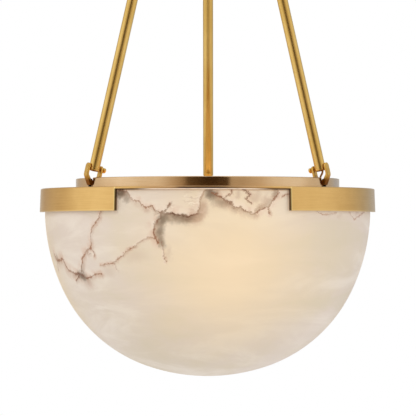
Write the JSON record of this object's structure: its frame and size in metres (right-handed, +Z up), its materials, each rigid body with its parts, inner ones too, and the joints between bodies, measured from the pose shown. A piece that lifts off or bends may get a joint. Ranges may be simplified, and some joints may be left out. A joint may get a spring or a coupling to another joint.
{
  "type": "pendant light",
  "caption": "Veined alabaster bowl in a brass cap ring with curved skirts, hung by leaning tube rods and pinned yokes from a hub, stem, swivel and canopy.",
  "frame": {"origin": "centre of the ceiling bar's top face, on the ceiling", "axes": "+Z up, -Y towards the front gap between the skirts, +X to the right"},
  "size_m": [0.4062, 0.4053, 0.8995],
  "materials": {
    "brushed_brass": "satin, brushed",
    "rod_brass": "satin, drawn lengthways",
    "yoke_brass": "satin, hand polished",
    "ring_brass": "satin, turned",
    "collar_brass": "satin, turned",
    "zinc_steel": "zinc plated",
    "black_steel": "blackened",
    "alabaster": "honed, veined, lit from inside",
    "black_rubber": "matt",
    "white_enamel": "white enamel",
    "lampholder_ceramic": "glazed",
    "frosted_glass": "frosted, lit",
    "cap_metal": "rolled screw cap",
    "gold_flex": "golden brown sleeve",
    "terminal_plastic": "moulded"
  },
  "bodies": {
    "ceiling": {"ceiling_crossbar": "zinc_steel", "canopy": "brushed_brass", "canopy_screws": "zinc_steel", "canopy_cap_nuts": "brushed_brass", "ceiling_nipple": "zinc_steel", "nipple_locknuts": "zinc_steel", "swivel_neck": "brushed_brass"},
    "swivel": {"swivel_fork": "brushed_brass", "knuckle_pin": "yoke_brass"},
    "hanger": {"stem_tongue": "brushed_brass", "stem": "brushed_brass", "stem_cord": "gold_flex", "hub_plate": "brushed_brass", "hub_terminal": "terminal_plastic", "upper_yoke_left": "yoke_brass", "upper_yoke_right": "yoke_brass", "upper_yoke_back": "yoke_brass", "upper_pins": "yoke_brass", "upper_studs": "black_steel", "upper_nuts": "zinc_steel"},
    "cover": {"hub_cover": "brushed_brass"},
    "bowl_ring": {"cap_ring": "ring_brass", "collar_ring": "collar_brass", "collar_screws": "zinc_steel", "bowl_gasket": "black_rubber", "alabaster_bowl": "alabaster", "skirt_pads": "black_rubber", "bowl_screws": "zinc_steel", "bowl_washers": "black_rubber", "lamp_bridge": "white_enamel", "lamp_cluster": "white_enamel", "cluster_bolt": "zinc_steel", "lampholder_front": "lampholder_ceramic", "lampholder_right": "lampholder_ceramic", "lampholder_left": "lampholder_ceramic", "bulb_front": "frosted_glass", "bulb_right": "frosted_glass", "bulb_left": "frosted_glass", "bulb_caps": "cap_metal", "cord_grommet": "black_rubber", "ring_lead": "gold_flex"},
    "rod_left": {"rod_left": "rod_brass"},
    "yoke_left": {"lower_yoke_left": "yoke_brass", "lower_pin_left": "yoke_brass", "lower_stud_left": "black_steel", "lower_nut_left": "zinc_steel"},
    "rod_right": {"rod_right": "rod_brass", "supply_cord": "gold_flex"},
    "yoke_right": {"lower_yoke_right": "yoke_brass", "lower_pin_right": "yoke_brass", "lower_stud_right": "black_steel", "lower_nut_right": "zinc_steel"},
    "rod_back": {"rod_back": "rod_brass"},
    "yoke_back": {"lower_yoke_back": "yoke_brass", "lower_pin_back": "yoke_brass", "lower_stud_back": "black_steel", "lower_nut_back": "zinc_steel"}
  },
  "joints": [
    {"name": "canopy_turn", "type": "hinge", "parent": "ceiling", "child": "swivel", "pos_m": [0, 0, -0.047], "axis": [0, 0, 1], "range_deg": [-165, 165]},
    {"name": "knuckle_tilt", "type": "hinge", "parent": "swivel", "child": "hanger", "pos_m": [0, 0, -0.065], "axis": [1, 0, 0], "range_deg": [-20, 20]},
    {"name": "hub_cover_lift", "type": "slide", "parent": "hanger", "child": "cover", "axis": [0, 0, 1], "range_m": [0, 0.034]},
    {"name": "ring_twist", "type": "hinge", "parent": "hanger", "child": "bowl_ring", "pos_m": [0, 0, -0.673], "axis": [0, 0, 1], "range_deg": [-4, 4], "stiffness_Nm_per_rad": 1},
    {"name": "rod_swing_left", "type": "hinge", "parent": "hanger", "child": "rod_left", "pos_m": [-0.02944, -0.017, -0.17465], "axis": [-0.8394, -0.4847, 0.2459], "range_deg": [-1.4, 1.4]},
    {"name": "yoke_swing_left", "type": "hinge", "parent": "rod_left", "child": "yoke_left", "pos_m": [-0.13372, -0.0772, -0.64935], "axis": [-0.8394, -0.4847, 0.2459], "range_deg": [-1.4, 1.4]},
    {"name": "rod_swing_right", "type": "hinge", "parent": "hanger", "child": "rod_right", "pos_m": [0.02944, -0.017, -0.17465], "axis": [0.8394, -0.4847, 0.2459], "range_deg": [-1.4, 1.4]},
    {"name": "yoke_swing_right", "type": "hinge", "parent": "rod_right", "child": "yoke_right", "pos_m": [0.13372, -0.0772, -0.64935], "axis": [0.8394, -0.4847, 0.2459], "range_deg": [-1.4, 1.4]},
    {"name": "rod_swing_back", "type": "hinge", "parent": "hanger", "child": "rod_back", "pos_m": [0, 0.034, -0.17465], "axis": [0, 0.9693, 0.2459], "range_deg": [-1.4, 1.4]},
    {"name": "yoke_swing_back", "type": "hinge", "parent": "rod_back", "child": "yoke_back", "pos_m": [0, 0.1544, -0.64935], "axis": [0, 0.9693, 0.2459], "range_deg": [-1.4, 1.4]}
  ],
  "couplings": [
    {"joint": "rod_swing_left", "follows": "ring_twist", "ratio": 0.32753},
    {"joint": "yoke_swing_left", "follows": "ring_twist", "ratio": -0.32753},
    {"joint": "rod_swing_right", "follows": "ring_twist", "ratio": 0.32753},
    {"joint": "yoke_swing_right", "follows": "ring_twist", "ratio": -0.32753},
    {"joint": "rod_swing_back", "follows": "ring_twist", "ratio": 0.32753},
    {"joint": "yoke_swing_back", "follows": "ring_twist", "ratio": -0.32753}
  ]
}
